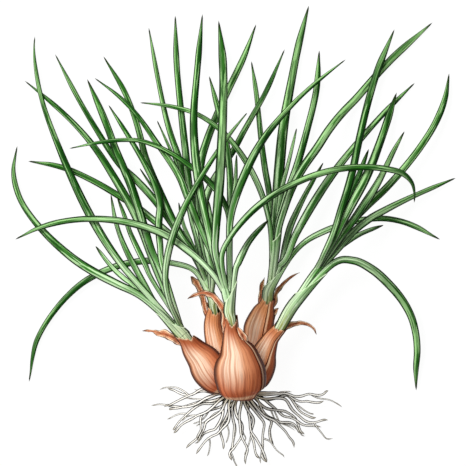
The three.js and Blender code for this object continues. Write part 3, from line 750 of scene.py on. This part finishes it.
CORE_TONE = 0.6
TONE_STEP = 0.13
COLUMN_TONE = 0.1
WRAP_EASE = 1.06
SUNK_SIZE = 0.6
WRAP_SHAPE = 1.4
WRAP_STEM = 2
WRAP_BLADE = 3
LIP_START = 0.955
LIP_DEPTH = 0.0012
LIP_CLOSE = 0.8
CAP_EDGES = 5
# The direction in plan towards the light, for the painted light and shade on the leaves' sides.
SUNWARD = Vector((-0.77, 0.64, 0))
GREEN_REACH = 0.16
STREAK_RUN = 11.0
TONE_SHIFT = 60.0
LEAF_COLOURS = (
    (0.0, (150, 158, 92)), (0.012, (178, 204, 146)), (0.045, (190, 224, 172)),
    (0.16, (142, 194, 120)), (0.4, (88, 152, 68)), (1.0, (54, 118, 34)),
)
LEAF_LIGHTS = (
    (0.0, (226, 242, 208)), (0.16, (218, 242, 204)), (0.4, (210, 238, 192)), (1.0, (164, 210, 140)),
)
LEAF_DEEP = (28, 84, 22)
LEAF_SHADE = (12, 66, 12)
LEAF_BAND = (14, 70, 14)
LEAF_FINE_BAND = (8, 48, 8)
LEAF_VEIN = (20, 66, 16)
LEAF_FLANK_SHADE = (6, 28, 4)
LEAF_POINT = (24, 36, 8)
RIM_LIGHT = (226, 242, 206)

leaf_skin, tree, shader = new_material("leaf_skin", roughness=0.55, gloss=0.04)
tone = mark(tree, "tone")
from_bulb = mark(tree, "from_bulb")
own = sums(tree, "MULTIPLY", tone, TONE_SHIFT)
along = sums(tree, "MULTIPLY_ADD", from_bulb, STREAK_RUN, own)
bands = place_lines(tree, round_count=0.6, along_count=0.0, shift=along)
veins = place_lines(tree, round_count=3.4, along_count=0.0, shift=along)
greening = span(tree, from_bulb, 0.0, GREEN_REACH)
body = ramp(tree, greening, LEAF_COLOURS)
light = ramp(tree, greening, LEAF_LIGHTS)
green = span(tree, from_bulb, 0.03, 0.12, 0.25, 1.0)


def green_cover(body, share, colour):
    """A colour that is laid on more thinly near the bulb."""
    return cover(tree, sums(tree, "MULTIPLY", share, green), body, colour)


body = green_cover(body, sums(tree, "MULTIPLY", tone, 0.4), LEAF_DEEP)
# Painted light and shade: the side of each leaf that faces the light in plan is painted lighter and
# the other side darker.
lit_side = sums(tree, "MULTIPLY", bands["Right"], mark(tree, "sunward"))
body = lay(tree, body, light, lit_side, 0.0, 0.6, 0.7)
body = green_cover(body, span(tree, lit_side, 0.0, -0.6, 0.0, 0.8), LEAF_SHADE)
body = lay(tree, body, light, bands["Streaks"], 0.51, 0.6, 0.5)
body = green_cover(body, span(tree, bands["Streaks"], 0.48, 0.4, 0.0, 0.65), LEAF_BAND)
body = green_cover(body, span(tree, bands["Fine"], 0.54, 0.6, 0.0, 0.75), LEAF_FINE_BAND)
body = lay(tree, body, light, bands["Fine"], 0.46, 0.4, 0.7)
body = lay(tree, body, LEAF_VEIN, veins["Streaks"], 0.53, 0.6, 0.6)
# Painted shade: the leaf's upper flanks are painted near black, as where its round side turns away
# from the light.
body = lay(tree, body, LEAF_FLANK_SHADE, bands["Flank"], 0.66, 0.88, 0.96)
body = lay(tree, body, RIM_LIGHT, mark(tree, "to_rim"), 0.0016, 0.0006, 0.8)
body = lay(tree, body, LEAF_POINT, mark(tree, "to_tip"), 0.012, 0.002)
tree.links.new(body, shader.inputs["Base Color"])
bump = add_node(tree, "Bump", {"Height": veins["Streaks"], "Strength": 0.3, "Distance": 0.0004})
tree.links.new(bump.outputs["Normal"], shader.inputs["Normal"])


def blade_stations(node, fork):
    """Stations of a leaf's blade, from its foot by the fork of its shoot to its tip.

    Round each end of a leaf's solid is a ring of points that have CAP_EDGES edges each.
    """
    bm = bmesh.new()
    bm.from_mesh(node.data)
    bmesh.ops.remove_doubles(bm, verts=bm.verts, dist=WELD)
    bm.verts.index_update()
    ends = [
        vert for vert in bm.verts
        if all(len(edge.other_vert(vert).link_edges) == CAP_EDGES for edge in vert.link_edges)
    ]
    ring = {min(ends, key=lambda end: (end.co - fork).length)}
    seen = set()
    stations = []
    while ring:
        seen |= ring
        in_order = sorted(ring, key=lambda vert: vert.index)
        middle = sum((vert.co for vert in in_order), Vector()) / len(ring)
        wide = max((vert.co - middle).length for vert in ring)
        deep = min((vert.co - middle).length for vert in ring)
        stations.append((*middle, wide, deep))
        ring = {edge.other_vert(vert) for vert in ring for edge in vert.link_edges} - seen
    bm.free()
    return stations[1:]


def leaf_marks(track, start, tone, reach=None, to_tip=None, to_rim=None):
    """What a leaf's points carry: lengths from the bulb, to the tip and to a rim, tone, and how far
    its side faces the light, for the painted light and shade.
    """
    reach = reach or (lambda turn, share: share * track.length)
    return [
        ("from_bulb", lambda turn, share: reach(turn, share) - start),
        ("to_tip", to_tip or fixed(1.0)),
        ("to_rim", to_rim or fixed(1.0)),
        ("tone", fixed(tone)),
        ("sunward", lambda turn, share: track.frame(reach(turn, share))[1].dot(SUNWARD)),
    ]


def add_sheath(bm, track, low, high, high_side, start, tone):
    """A sheath along a track, its rim slanting from a low to a high length on it."""

    def rim(turn):
        rise = (0.5 + 0.5 * math.cos(2 * math.pi * (turn - high_side))) ** WRAP_SHAPE
        return lerp(low, high, rise)

    def reach(turn, share):
        return rim(turn) * min(share / LIP_START, 1)

    def wrap(turn, share):
        closing = ease(LIP_START, 1, share)
        length = reach(turn, share) - LIP_DEPTH * closing
        return track.skin(length, turn, lerp(WRAP_EASE, LIP_CLOSE, closing))

    def to_rim(turn, share):
        return rim(turn) - reach(turn, share)

    marks = leaf_marks(track, start, tone, reach, to_rim=to_rim)
    form_sheet(bm, NECK_SIDES, NECK_ROWS, wrap, marks)


def stem_sizes(neck):
    """The points of a neck's stem, and its radius at each of them."""
    stem = [Vector(point) for point in neck["stem"]]
    radii = [lerp(*neck["radii"], k / (len(stem) - 1)) for k in range(len(stem))]
    return stem, radii


for seed, (name, neck) in enumerate(NECKS.items()):
    stem, radii = stem_sizes(neck)
    sunk = stem[0] + (stem[0] - stem[1]).normalized() * NECK_SINK
    sunk_radius = radii[0] * SUNK_SIZE
    tip = stem[2] + (stem[2] - stem[1]).normalized() * NECK_TIP
    sizes = [radius * NECK_CORE for radius in (sunk_radius, *radii, 0)]
    middles = (sunk, *stem, tip)
    core = Track([(*point, size, size) for point, size in zip(middles, sizes)], NECK_PARTS)
    blade = blade_stations(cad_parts[f"leaf_{name}_{neck['outer']}"], stem[-1])
    run = [(*sunk, sunk_radius, sunk_radius)]
    run += [(*point, radius, radius) for point, radius in zip(stem[:WRAP_STEM], radii)]
    run += blade[:WRAP_BLADE]
    sheath = Track(run, NECK_PARTS)
    low, high = (length + NECK_SINK for length in neck["rim"])
    high_side = neck["high_side"]
    bm = bmesh.new()
    form_sheet(
        bm, NECK_SIDES, NECK_ROWS, lambda turn, share: core.skin(share * core.length, turn),
        leaf_marks(core, -NECK_SINK, CORE_TONE),
    )
    add_sheath(bm, sheath, low, high, high_side, NECK_SINK, TONE_STEP * seed)
    if "column" in neck:
        column = Track(neck["column"], NECK_PARTS)
        add_sheath(bm, column, *neck["column_rim"], high_side, 0, COLUMN_TONE)
    bmesh.ops.holes_fill(bm, edges=bm.edges, sides=0)
    piece = make_piece(bm, f"{name}_neck", leaf_skin)
    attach(piece, "root")
    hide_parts(f"neck_{name}")

# Leaves: hollow green leaves that leave the neck one by one, each a flattened tube with a soft
# ridge along it, fine veins and a withered point. They sink to the surface and lie over each
# other as they fell.
LEAF_SIDES = 24
LEAF_ROWS = 84
LEAF_PARTS = 6
LEAF_RIDGE = 1.42
LEAF_TWIST = 0.5
TWIST_START = 0.2
LEAF_SEED = 5
SHEATH_FAN = 0.010
SHEATH_TUCK = 0.35
SHEATH_START = 0.7
CLOSE_FOOT = 0.009
TIP_LENGTH = 0.0008
TIP_HALF = 0.0004


def sheath_stations(neck, blade):
    """Stations of a leaf's base along the neck, on the side where its blade parts."""
    stem, radii = stem_sizes(neck)
    side = (stem[2] - stem[1]).cross(UP).normalized()
    wide, deep = blade[0][3:]
    lean = min(max((Vector(blade[0][:3]) - stem[2]).dot(side) / SHEATH_FAN, -1), 1)
    stations = []
    for k, (point, radius) in enumerate(zip(stem, radii)):
        room = radius - 2 * SHEATH_TUCK * wide
        size = lerp(SHEATH_START, 1, k / len(stem))
        middle = point + side * (lean * room * (k + 1) / len(stem))
        stations.append((*middle, wide * size, deep * size))
    return stations


leaf_draw = make_draw(LEAF_SEED)
leaf_names = sorted(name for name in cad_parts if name.startswith("leaf_"))
for node_name in leaf_names:
    shoot, number = node_name.removeprefix("leaf_").rsplit("_", 1)
    neck = NECKS[shoot]
    blade = blade_stations(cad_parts[node_name], Vector(neck["stem"][-1]))
    base = sheath_stations(neck, blade)
    foot, before, tip = (Vector(blade[k][:3]) for k in (0, -2, -1))
    close = (foot - Vector(neck["stem"][-1])).xy.length < CLOSE_FOOT
    if close or int(number) == neck["outer"]:
        base = base[:WRAP_STEM]
    point = tip + (tip - before).normalized() * TIP_LENGTH
    blade[-1:] = [(*tip, TIP_HALF, TIP_HALF), (*point, 0, 0)]
    track = Track(base + blade, LEAF_PARTS)
    shade = next(leaf_draw)
    twist = lerp(-LEAF_TWIST, LEAF_TWIST, next(leaf_draw))

    def place(turn, share):
        length = share * track.length
        angle = 2 * math.pi * turn + twist * ease(TWIST_START, 1, share)
        ridge = abs(math.cos(angle)) ** LEAF_RIDGE + abs(math.sin(angle)) ** LEAF_RIDGE
        return track.skin(length, turn, ridge ** (-1 / LEAF_RIDGE))

    bm = bmesh.new()
    marks = leaf_marks(track, 0, shade, to_tip=lambda turn, share: (1 - share) * track.length)
    form_sheet(bm, LEAF_SIDES, LEAF_ROWS, place, marks)
    bmesh.ops.holes_fill(bm, edges=bm.edges, sides=0)
    piece = make_piece(bm, f"{shoot}_leaf_{number}", leaf_skin)
    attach(piece, "root")
    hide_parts(node_name)

# Surface, light and camera: a plain pale table top, soft light from the upper left, and a long
# lens straight above the plant.
FLOOR_HALF = 1.5
SURFACE_GREY = 0.07
WHITE = (1, 1, 1, 1)
LENS = 900
SENSOR = 36
VIEW_WIDTH = 0.3262
VIEW_MIDDLE = Vector((-0.001, 0.0007, 0.020))
KEY_AT = Vector((-1.1, 0.9, 1.7))
KEY_SIZE = 1.2
KEY_POWER = 60
SURFACE_GLOW = 0.945
WORLD_LIGHT = 0.4
VIEW_FAR = 20

bm = bmesh.new()
bmesh.ops.create_grid(bm, x_segments=1, y_segments=1, size=FLOOR_HALF)
surface_paint, tree, shader = new_material("surface_paint", roughness=0.9, gloss=0.1)
shader.inputs["Base Color"].default_value = (SURFACE_GREY, SURFACE_GREY, SURFACE_GREY, 1)
shader.inputs["Emission Color"].default_value = WHITE
shader.inputs["Emission Strength"].default_value = SURFACE_GLOW
surface = make_piece(bm, "surface", surface_paint)

key = bpy.data.objects.new("key_light", bpy.data.lights.new("key_light", "AREA"))
key.data.size = KEY_SIZE
key.data.energy = KEY_POWER
key.location = KEY_AT
key.rotation_euler = (VIEW_MIDDLE - KEY_AT).to_track_quat("-Z", "Y").to_euler()
bpy.context.scene.collection.objects.link(key)

world = bpy.data.worlds.new("room_light")
world.use_nodes = True
world.node_tree.nodes["Background"].inputs["Color"].default_value = WHITE
world.node_tree.nodes["Background"].inputs["Strength"].default_value = WORLD_LIGHT
bpy.context.scene.world = world
bpy.context.scene.view_settings.view_transform = "Standard"

camera = bpy.data.objects.new("camera", bpy.data.cameras.new("camera"))
camera.data.lens = LENS
camera.data.sensor_width = SENSOR
camera.location = VIEW_MIDDLE + UP * (VIEW_WIDTH * LENS / SENSOR)
camera.data.clip_end = VIEW_FAR
bpy.context.scene.collection.objects.link(camera)
bpy.context.scene.camera = camera
